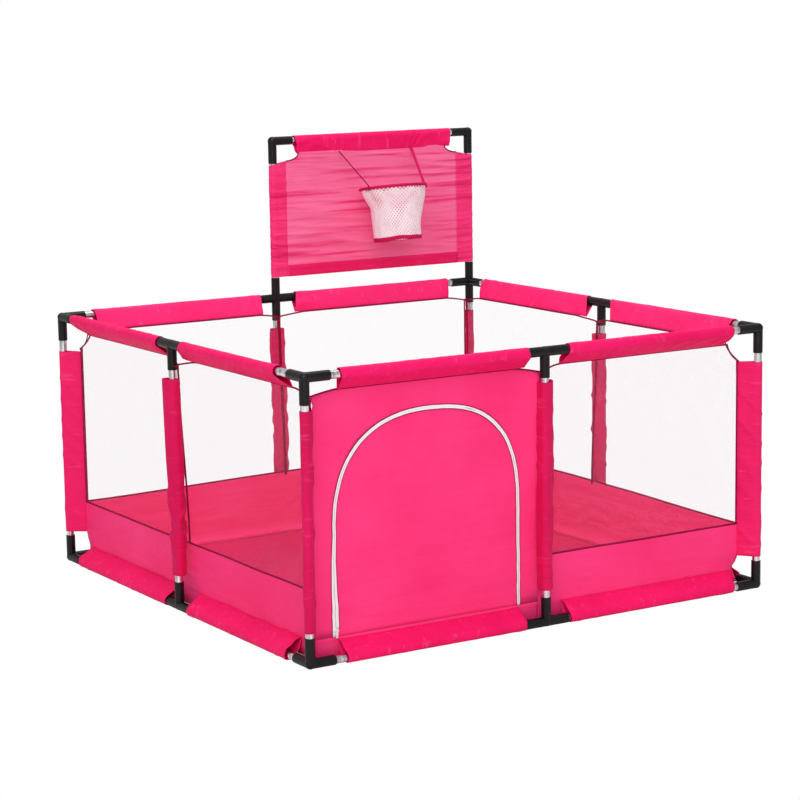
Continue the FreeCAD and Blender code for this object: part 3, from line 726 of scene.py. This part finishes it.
def stations(start, finish, start_wide, finish_wide, cells, bend=9):
    """Places along an edge, closer together at its hollow ends."""
    start_wide, finish_wide = start_wide or TIED_WIDE, finish_wide or TIED_WIDE
    shares = [sin(pi / 2 * i / bend) for i in range(bend + 1)]
    inner = [start + start_wide * share for share in shares[:-1]]
    inner += spaced(start + start_wide, finish - finish_wide, cells)[:-1]
    return inner + [finish - finish_wide * share for share in reversed(shares)]


def window_place(side, span, along, share):
    """A place on a bay's netting, at a share of the way up."""
    bottom = band_top(side, along)
    return wall_place(side, along, bottom + (top_edge(along, *span) - bottom) * share)


def add_windows():
    """The netting of each bay but the door's, and the bound edges round it."""
    for side, name in enumerate(SIDES):
        for bay in (0, 1):
            label = f"{name}_{BAYS[side][bay]}"
            span = bay_span(side, bay)
            start, finish = span[:2]
            is_door = (side, bay) == (0, 0)
            lines = [[wall_place(side, x, top_edge(x, *span)) for x in stations(*span, 30)]]
            first_gap, last_gap = PIPING_GAPS if bay == 0 else reversed(PIPING_GAPS)
            for x in () if is_door else (start + first_gap, finish - last_gap):
                heights = spaced(BAND_TOP, top_edge(x, *span), 20)
                lines.append([wall_place(side, x, z) for z in heights])
            piping = swept(f"piping_{label}", lines, "pink_binding", "pen", PIPING, face=facing_in(side))
            if is_door:
                continue
            xs = stations(*span, 44)
            rows = [[window_place(side, span, x, t) for x in xs] for t in spaced(0, 1, 36)]
            window = cloth(f"window_{label}", [rows], "white_mesh", slot="white_mesh",
                           nodes=["mesh_windows"], thick=0)


def band_place(side, start, share, up):
    """A place on a side's band, at shares of the way along and up."""
    level = CLOTH + (BAND_TOP - CLOTH) * up
    first = start + (foot_cut(CORNERS[side], level) if side else 0.0)
    last = REACH - foot_cut(CORNERS[(side + 1) % 4], level)
    x = first + (last - first) * share
    return foot_place(side, x, CLOTH + (band_top(side, x) - CLOTH) * up)


def add_bands():
    """The cloth below the netting, bound along its upper edge."""
    for side, name in enumerate(SIDES):
        start, cells = (SEAM_GAP, 90) if side == 0 else (-REACH, 170)
        rows = [[band_place(side, start, share, up) for share in spaced(0, 1, cells)]
                for up in spaced(0, 1, 20)]
        band = cloth(f"wall_band_{name}", [rows], nodes=["wall_" + name], thick=WALL_CLOTH)
        line = [wall_place(side, x, band_top(side, x)) for x in spaced(start, REACH, cells)]
        binding = swept(f"band_binding_{name}", [line], "pink_binding", "pen", BAND_BINDING,
                        face=facing_in(side))


GROUND_EDGE = REACH - 0.0105


def ground_place(x, y):
    inside = ramp(GROUND_EDGE - max(abs(x), abs(y)), 0.0, 0.12)
    rise = 0.0010 + 0.0008 * drift(x * 3, y * 3, 90.5)
    rise += 0.0018 * crease(x * 2.4 + y, y * 2.4 - x * 0.6, 91.5, 5.0)
    rise += 0.0012 * crease(x * 3.5 - y * 2, y * 5 + x, 92.5, 4.0)
    return Vector((x, y, CLOTH + rise * inside))


def add_ground():
    """The cover's floor, which lies a little uneven."""
    spots = spaced(-GROUND_EDGE, GROUND_EDGE, 72)
    rows = [[ground_place(x, y) for x in spots] for y in spots]
    # The floor's cloth is painted darker than the walls, as painted shade.
    ground = cloth("cover_ground", [rows], "pink_floor", nodes=["cover_floor"], thick=WALL_CLOTH)


def add_ties():
    """Webbing round each tied joint's arm, and a strip down to the sleeve."""
    height = WALL_TOP - TIED_DEEP - 0.001
    for side, name in enumerate(SIDES):
        points = [("tee_" + name, 0.0, Vector((0, INSET - tied_in(0, height))))]
        if CORNERS[side] not in OPEN_CORNERS:
            points.append(("corner_" + CORNERS[side], -HALF, Vector((INSET, INSET))))
        for label, along, fold_at in points:
            line = []
            for place, depth in belt(ARM + 0.0009, fold_at):
                if depth > TIE_BARE:
                    wave = TIE_SAG * drift(place.x * 90, place.y * 90, side + 0.5)
                    line.append(on_side(side, along + place.x, place.y, height + wave))
            half = len(line) // 2
            swept(f"tie_{label}", [line[half:] + line[:half]], "pink_webbing", "pen", TIE)
            top = on_side(side, along + fold_at.x, fold_at.y, height)
            foot = on_side(side, along + fold_at.x, fold_at.y + 0.0030, POST_HIGH - 0.012)
            strip = [top.lerp(foot, share) for share in spaced(0, 1, 8)]
            swept(f"tie_strip_{label}", [strip], "pink_binding", "pen", TIE_STRIP, face=facing_in(side))


# ---- the door bay

LEG = SPRING - SILL
BEND = pi * ARCH
ARCH_LENGTH = 2 * LEG + BEND
ZIP_BOW = 0.003  # how far the left leg of the zip bows outward
ZIP_SHOWN = 0.0044  # from the zip's middle to the edge of what shows
ZIP_LAP = 0.0006  # how far the cloth goes under the zip's tapes
SHOULDERS = (0.083, 0.045)  # how far the arch's right and left shoulders fill out


def zip_bow(distance):
    return ZIP_BOW * bump(distance, 0.15, 0.07) * ramp(LEG - distance, 0, 0.05)


def arch_place(distance, out):
    """A place on the zip's arch, by its distance from the left foot and out from its line."""
    if distance < LEG:
        return -ARCH - out - zip_bow(distance), SILL + distance
    if distance < LEG + BEND:
        angle = pi - (distance - LEG) / ARCH
        shoulder = SHOULDERS[0] if angle < pi / 2 else SHOULDERS[1]
        reach = ARCH * (1 + shoulder * sin(2 * angle) ** 2) + out
        return reach * cos(angle), SPRING + reach * sin(angle)
    return ARCH + out, SPRING - (distance - LEG - BEND)


def arch_distance(x, z):
    """How far round the arch a place of the bay belongs."""
    if z > SPRING:
        return LEG + (pi - atan2(z - SPRING, x)) * ARCH
    return z - SILL if x < 0 else ARCH_LENGTH - (z - SILL)


def door_place(x, z, shift=0.0):
    """A place on the door bay's cloth, x from the arch's middle line."""
    return wall_place(0, DOOR_X + x, z, shift)


def add_door_surround():
    """The cloth bay round the doorway, and the strip under its sill."""
    span = bay_span(0, 0)
    start, finish = span[0] - DOOR_X, span[1] - DOOR_X
    outline = []
    for z in spaced(SILL, top_edge(span[0], *span), 26)[:-1]:
        hollow = min(1.0, max(0.0, (z - POST_HIGH) / 0.032))
        outline.append((start + SIDE_CUT * sin(pi * hollow), z))
    outline += [(x, top_edge(x + DOOR_X, *span)) for x in spaced(start, finish, 44)]
    outline += [(finish, z) for z in reversed(spaced(SILL, top_edge(span[1], *span), 26)[:-1])]
    edge = [arch_place(arch_distance(x, z), ZIP_SHOWN - ZIP_LAP) for x, z in outline]
    rows = [[door_place(ix + (ox - ix) * t, iz + (oz - iz) * t)
             for (ix, iz), (ox, oz) in zip(edge, outline)] for t in spaced(0, 1, 14)]
    strip = [[foot_place(0, x, z) for x in spaced(span[0], span[1], 80)]
             for z in spaced(CLOTH, SILL - SEAM_GAP, 7)]
    piece = cloth("door_surround", [rows, strip], nodes=["wall_front"], thick=WALL_CLOTH)


def add_door_flap():
    """The door itself, inside the arch."""
    radius = ARCH - ZIP_SHOWN + ZIP_LAP

    def flap_place(x, top, share):
        z = SILL + (top - SILL) * share
        return door_place(x - zip_bow(z - SILL) * ramp(-x, 0.6 * radius, radius), z)

    edge = [arch_place(distance, radius - ARCH) for distance in spaced(LEG, LEG + BEND, 72)]
    rows = [[flap_place(x, top, share) for x, top in edge] for share in spaced(0, 1, 56)]
    flap = cloth("door_cloth", [rows], body="door", nodes=["door_flap"], thick=WALL_CLOTH)


ZIP_FACE = -0.0010  # the tapes' place, in front of the cloth
ZIP_GAP = 0.0007  # from the zip's middle line to each tape
WELT = (0.0018, 0.0018)
TOOTH_PITCH = 0.0030
TOOTH_LONG, TOOTH_WIDE, TOOTH_DEEP = 0.0011, 0.0016, 0.0018
TOOTH_GAP = 0.0003  # from the zip's middle line to each tooth
TOOTH_TAPER = 0.7  # how much smaller a tooth's front is
SLIDER_CLEAR = 0.0175  # the door's tape starts this far above its CAD solid's foot


def add_zip():
    """Two tapes with a row of teeth between them, and a narrow welt along each tape."""
    for name, body, start, hand in (
        ("zip_tape_fixed", "pen", 0.0, 1),
        ("zip_tape_door", "door", low("zip_tape_door").z + SLIDER_CLEAR - SILL, -1),
    ):
        def tape_place(distance, share, hand=hand):
            """A place across the tape, which is wider toward the foot of its left leg."""
            wide = ZIP_SHOWN * (1 + 0.9 * ramp(LEG - distance, 0, LEG))
            x, z = arch_place(distance, hand * (ZIP_GAP + (wide - ZIP_GAP) * share))
            return door_place(x, z, ZIP_FACE)

        distances = spaced(start, ARCH_LENGTH, 150)
        rows = [[tape_place(distance, share) for distance in distances] for share in spaced(0, 1, 5)]
        tape = cloth(name + "_woven", [rows], "zip_tape", body, "zip_tape", [name])
        outer = [tape_place(distance, 1.12) for distance in distances]
        swept(name.replace("tape", "welt"), [outer], "pink_binding", body, WELT, 6, (0, 1, 0))
        add_zip_teeth(name.replace("tape", "teeth"), body, start, hand)


def add_zip_teeth(name, body, start, hand):
    """Small teeth along one tape's edge, between the other tape's."""
    places, faces = [], []
    for i in range(int((ARCH_LENGTH - start) / TOOTH_PITCH)):
        distance = start + TOOTH_PITCH * (i + (0.25 if hand > 0 else 0.75))
        first = len(places)
        for depth, size in ((-TOOTH_DEEP / 2, TOOTH_TAPER), (TOOTH_DEEP / 2, 1.0)):
            for along, out in ((-1, 0), (1, 0), (1, 1), (-1, 1)):
                x, z = arch_place(distance + along * TOOTH_LONG * size / 2,
                                  hand * (TOOTH_GAP + out * TOOTH_WIDE * size))
                places.append(door_place(x, z, depth - CLOTH))
        faces += [[first + a for a in quad] for quad in (
            (0, 1, 2, 3), (7, 6, 5, 4), (0, 4, 5, 1), (1, 5, 6, 2), (2, 6, 7, 3), (3, 7, 4, 0))]
    settle(mesh_of(name, places, faces, None, "zip_tape"), body, "zip_tape")


# ---- the board

BOARD_LOW = low("board_cloth").z
BOARD_SIDE_TOP = 1.004
BOARD_TOP = RAIL_BOARD - 0.032
BOARD_FACE = HALF - SLEEVE - 0.0005
POLE_LEFT, POLE_RIGHT = middle("board_upright_left").x, middle("board_upright_right").x
SEAM_LEFT, SEAM_RIGHT = 0.034, 0.047 # from each upright's axis to its sleeve's seam
FIELD_LEFT, FIELD_RIGHT = POLE_LEFT + SEAM_LEFT, POLE_RIGHT - SEAM_RIGHT
BOARD_SLEEVE_RISE = 0.008  # how much higher a side sleeve's top is at its seam
NOTCH_WIDE, NOTCH_DEEP = 0.040, BOARD_TOP - BOARD_SIDE_TOP - BOARD_SLEEVE_RISE
NOTCH_STEPS = 10
HEM_HEIGHT = 0.031
HEM_PUFF = 0.0012
BOARD_PIPING = (0.0034, 0.0026)
TOP_SLEEVE_GAPS = (0.064, 0.070)  # from an upright's axis to the top sleeve, above and at the seam
HOOP_X = middle("hoop_ring").x
HOOP_CROSSING = 0.072  # from the hoop's middle to where it crosses the rail, folded up


def board_sway(x, z):
    """How far the board's field bows toward the front, with its level wrinkles.

    It gives way behind the hoop, which folds up against it.
    """
    inner = min(x - FIELD_LEFT, FIELD_RIGHT - x)
    free = ramp(inner, 0.0, 0.07)
    level = crease(x * 2.2 + 3 * z, z * 34 + x * 2, 121.5, 3.0)
    wrinkles = 0.0012 * drift(x * 4, z * 60, 120.5) + 0.0030 * level
    arc = 0.0036 * bump(z, 1.022 - 0.6 * (x - 0.27) ** 2, 0.0026)
    arc *= ramp(x, 0.24, 0.27) * ramp(0.46 - x, 0, 0.03)
    pressed = 0.0054 * bump(x, HOOP_X, 0.13) * bump(z, 0.965, 0.085)
    return (wrinkles + arc) * (0.3 + 0.7 * free) - pressed


def board_notch(x):
    """Height of the field's upper edge, with an elliptical cut-out at each end."""
    away = min(1.0, min(x - FIELD_LEFT, FIELD_RIGHT - x) / NOTCH_WIDE)
    return BOARD_TOP - NOTCH_DEEP * sqrt(max(0.0, 1 - away ** 2))


def board_place(x, z, puff=0.0):
    return Vector((x, BOARD_FACE - board_sway(x, z) - puff, z))


def add_board_field():
    """The field, the hem along its foot and the piping of its cut-outs."""
    xs = stations(FIELD_LEFT, FIELD_RIGHT, NOTCH_WIDE, NOTCH_WIDE, 90, NOTCH_STEPS)
    rows = [[board_place(x, BOARD_LOW + (board_notch(x) - BOARD_LOW) * share) for x in xs]
            for share in spaced(0, 1, 90)]
    field = cloth("board_field", [rows], "board_cloth", "backboard", "board_cloth",
                  ["board_cloth"], thick=BOARD_CLOTH)
    hem_rows = []
    for share in spaced(0, 1, 12):
        puff = HEM_PUFF * (1 + abs(sin(tau * share)))
        hem_rows.append([board_place(x, BOARD_LOW + HEM_HEIGHT * share, puff) for x in xs])
    hem = cloth("board_hem", [hem_rows], "pink_sleeve", "backboard", thick=BOARD_CLOTH)
    cut_outs = (xs[:NOTCH_STEPS + 1], xs[::-1][:NOTCH_STEPS + 1])
    lines = [[Vector((x, BOARD_FACE - 0.001, board_notch(x))) for x in edge] for edge in cut_outs]
    piping = swept("board_piping", lines, "pink_binding", "backboard", BOARD_PIPING, face=(0, 1, 0))


def add_board_sleeves():
    """The sleeves that hold the field to the uprights and the rail."""
    for name, pole, seam in (("left", POLE_LEFT, SEAM_LEFT), ("right", POLE_RIGHT, -SEAM_RIGHT)):
        def station(t, place, pole=pole):
            return Vector((pole + place.x, HALF + place.y, t))

        def lift(t, around, depth, seed=130.5 + seam):
            folds = crease(t * 70 + depth * 0.5, around * 1.1, seed, 2.4)
            free = ramp(depth, 0.05, 0.3) * ramp(1 - depth, 0.0, 0.1)
            return 0.0002 + 0.0030 * folds * (0.3 + 0.7 * free)

        section = belt(SLEEVE, Vector((seam, 0.0009 - SLEEVE)))
        tops = (BOARD_SIDE_TOP - BOARD_SLEEVE_RISE / 2, BOARD_SIDE_TOP + BOARD_SLEEVE_RISE)
        side = sleeve(f"board_sleeve_{name}", "board_side", "backboard", section, station, lift,
                      (BOARD_LOW, BOARD_LOW), tops, 120)

    def top_station(t, place):
        return Vector((t, HALF + place.x, RAIL_BOARD + place.y))

    def top_lift(t, around, depth):
        pucker = crease(t * 34 + depth * 2.6 * sin(t * 30), around * 2.2, 140.5, 2.4)
        free = ramp(depth, 0.1, 0.4) * ramp(1 - depth, 0.02, 0.2)
        crossed = max(bump(t, HOOP_X + hand * HOOP_CROSSING, 0.020) for hand in (-1, 1))
        return 0.0003 + 0.0040 * pucker * (0.12 + 0.88 * free) * (1 - 0.8 * crossed)

    section = belt(SLEEVE + 0.0015, Vector((0.0009 - SLEEVE, BOARD_TOP - RAIL_BOARD - 0.003)))
    starts = [POLE_LEFT + gap for gap in TOP_SLEEVE_GAPS]
    ends = [POLE_RIGHT - gap for gap in TOP_SLEEVE_GAPS]
    # The top sleeve takes the darker rail cloth, with painted shade.
    top = sleeve("board_sleeve_top", "pink_rail", "backboard", section, top_station, top_lift,
                 starts, ends, 150)


# ---- the hoop

CORD = 0.0035  # radius of the ring's cord
RING_LOW, RING_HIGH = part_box("hoop_ring")
RING_MIDDLE = (RING_LOW + RING_HIGH) / 2
RING = (RING_HIGH.x - RING_LOW.x) / 2 - CORD
RING_TILT = asin((RING_HIGH.z - RING_LOW.z - 2 * CORD) / (2 * RING))
RING_FRONT = Vector((0, -cos(RING_TILT), sin(RING_TILT)))
RING_UP = Vector((0, sin(RING_TILT), cos(RING_TILT)))
NET_LENGTH = (high("hoop_net") - low("hoop_net")).z - 0.022
NET_HEM = (-0.010, 0.001)  # from the net's foot to its hem's two edges
STRAP_THICK, STRAP_LOOP = 0.0011, 0.0050
STRAP_ANGLE = radians(76)  # where the straps meet the ring, from its front


def round_hoop(angle, reach, drop):
    """A place by the hoop: angle is from the front, anticlockwise from above."""
    out = RING_FRONT * cos(angle) + Vector((1, 0, 0)) * sin(angle)
    return RING_MIDDLE + out * reach - RING_UP * drop


def ring_place(angle, wrap, ridge):
    fat = 0.0033 + 0.0005 * crease(angle * 7, ridge * 0.6, 150.5, 3.0)
    return round_hoop(angle, RING + fat * cos(wrap), fat * sin(wrap) * 1.15)


def net_place(t, turn, out=0.0):
    """A place on the net, at a share t of its length down from the ring.

    The net falls straighter on its right than on its left.
    """
    x, y = cos(turn), sin(turn)
    neck = 0.42 + 0.50 * max(0.0, y)
    taper = 0.0645 + 0.0225 * (1 - ramp(t, 0.0, neck))
    gathers = 0.0016 * cos(11 * turn + 2 * drift(x, t * 2 + y, 160.5)) * max(0.0, 1 - t) ** 0.6
    creased = 0.0030 * bump(turn, 0.75, 0.10) * ramp(t, 0.1, 0.5)
    reach = taper + gathers + creased + 0.0012 * drift(x * 2, t * 5 + y, 161.5) + out
    return round_hoop(turn, reach, t * NET_LENGTH + 0.0030 * t * drift(x * 2, y * 2, 162.5))


def add_hoop():
    """The bound ring, its net and the net's hem."""
    turns, ridges = spaced(0, tau, 160)[:-1], 14
    rows = [[ring_place(angle, tau * k / ridges, k % ridges) for angle in turns]
            for k in range(ridges + 1)]
    cloth("hoop_binding", [rows], "pink_webbing", "hoop", "pink_binding", ["hoop_ring"],
          thick=0, loop=True)
    turns = spaced(0, tau, 120)[:-1]
    rows = [[net_place(t, turn) for turn in turns] for t in spaced(0, 1, 40)]
    net = cloth("hoop_netting", [rows], "net_mesh", "hoop", "white_mesh", ["hoop_net"],
                thick=0, loop=True)
    hem_top, hem_foot = [1 + edge / NET_LENGTH for edge in NET_HEM]
    rows = [[net_place(t, turn, 0.0008) for turn in turns] for t in spaced(hem_top, hem_foot, 4)]
    hem = cloth("hoop_net_hem", [rows], "pink_webbing", "hoop", "pink_webbing",
                thick=WALL_CLOTH, loop=True)


def add_straps():
    """The straps from the board's top to the ring, which they loop over."""
    spread = (high("hoop_straps").x - low("hoop_straps").x) / 2 - 0.006
    top_z = high("hoop_straps").z - 0.001
    for name, hand, finish, wide in (
        ("left", -1, "pink_binding", 0.0045),
        ("right", 1, "pink_webbing", 0.0095),
    ):
        top = Vector((RING_MIDDLE.x + hand * spread, BOARD_FACE - 0.0045, top_z))
        foot = round_hoop(hand * STRAP_ANGLE, RING, -0.0042)
        line = [top.lerp(foot, share) for share in spaced(0, 1, 16)]
        line += [round_hoop(hand * STRAP_ANGLE, RING + STRAP_LOOP * sin(a), -STRAP_LOOP * cos(a))
                 for a in (0.6, 1.2, 1.8, 2.4, 3.0)]
        strap = swept(f"hoop_strap_{name}", [line], finish, None, (wide, STRAP_THICK),
                      face=(0, -0.75, 0.66), slot="pink_webbing")
        if name == "left":
            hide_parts("hoop_straps")
        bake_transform(strap)


# ---- carried-over CAD nodes

def dress_cad_nodes():
    """Finer finishes for the tubes, joints, zip slider and pull that show as they are."""
    for name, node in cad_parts.items():
        if node.hide_render:
            continue
        if name.startswith(("post_", "top_rail", "bottom_rail", "board_upright", "board_rail")):
            finish = "steel_tube"
        elif name.startswith(("top_", "bottom_", "board_elbow")):
            finish = "black_plastic"
        else:
            finish = "zip_metal"
        for slot in node.material_slots:
            slot.material = FINISHES[finish]


# ---- studio

SKY = 0.52  # how bright the surroundings light the object
CAMERA_PLACE = Vector((-3.1015, -5.0062, 1.4284))
CAMERA_AZIMUTH = radians(-31.79)
CAMERA_ELEVATION = radians(9.47)
CAMERA_ROLL = radians(-0.897)


def add_floor():
    """A pale floor that the camera sees as plain white."""
    size = 400.0
    corners = [(-size, -size, 0), (size, -size, 0), (size, size, 0), (-size, size, 0)]
    mesh = bpy.data.meshes.new("studio_floor")
    mesh.from_pydata(corners, [], [(0, 1, 2, 3)])
    paper = Finish("studio_paper", 0.9, Specular_IOR_Level=0.0, Emission_Color=(1, 1, 1, 1))
    seen = paper.add("LightPath")
    tone = paper.mix(paper.noise(2, 2), rgb(228, 228, 228), rgb(233, 233, 233))
    paper.set(Base_Color=paper.mix(seen, tone, rgb(0, 0, 0)), Emission_Strength=seen)
    mesh.materials.append(paper.material)
    add_object("studio_floor", mesh)


def add_lamp(name, place, target, size, power):
    lamp = bpy.data.lights.new(name, "AREA")
    lamp.shape = "DISK"
    lamp.size = size
    lamp.energy = power
    stand = add_object(name, lamp)
    stand.location = place
    stand.rotation_mode = "QUATERNION"
    stand.rotation_quaternion = (Vector(target) - Vector(place)).to_track_quat("-Z", "Y")


def add_studio():
    """The floor, two soft lamps and a sky that the camera sees as white."""
    add_floor()
    world = bpy.data.worlds.new("studio")
    nodes = Nodes(world)
    sky = nodes.tree.nodes["Background"].inputs
    seen = nodes.add("LightPath")
    nodes.feed(sky["Color"], (1, 1, 1, 1))
    nodes.feed(sky["Strength"], nodes.maths("MULTIPLY_ADD", seen, 1.0 - SKY, SKY))
    bpy.context.scene.world = world
    bpy.context.scene.view_settings.view_transform = "Standard"
    add_lamp("key", (-3.5, -5.0, 4.5), (0, 0, 0.4), 6.5, 285)
    add_lamp("top", (0.4, 0.6, 5.0), (0, 0, 0.3), 3.0, 90)


def add_camera():
    lens = bpy.data.cameras.new("camera")
    lens.lens = 107.3
    lens.sensor_width = 36.0
    camera = add_object("camera", lens)
    level = cos(CAMERA_ELEVATION)
    back = Vector((sin(CAMERA_AZIMUTH) * level, -cos(CAMERA_AZIMUTH) * level, sin(CAMERA_ELEVATION)))
    camera.rotation_mode = "QUATERNION"
    camera.rotation_quaternion = Quaternion(back, CAMERA_ROLL) @ (-back).to_track_quat("-Z", "Y")
    camera.location = CAMERA_PLACE
    bpy.context.scene.camera = camera


add_ground()
add_bands()
add_windows()
add_ties()
add_rail_sleeves()
add_post_sleeves()
add_middle_sleeves()
add_door_surround()
add_door_flap()
add_zip()
add_board_field()
add_board_sleeves()
add_hoop()
add_straps()
dress_cad_nodes()
add_studio()
add_camera()
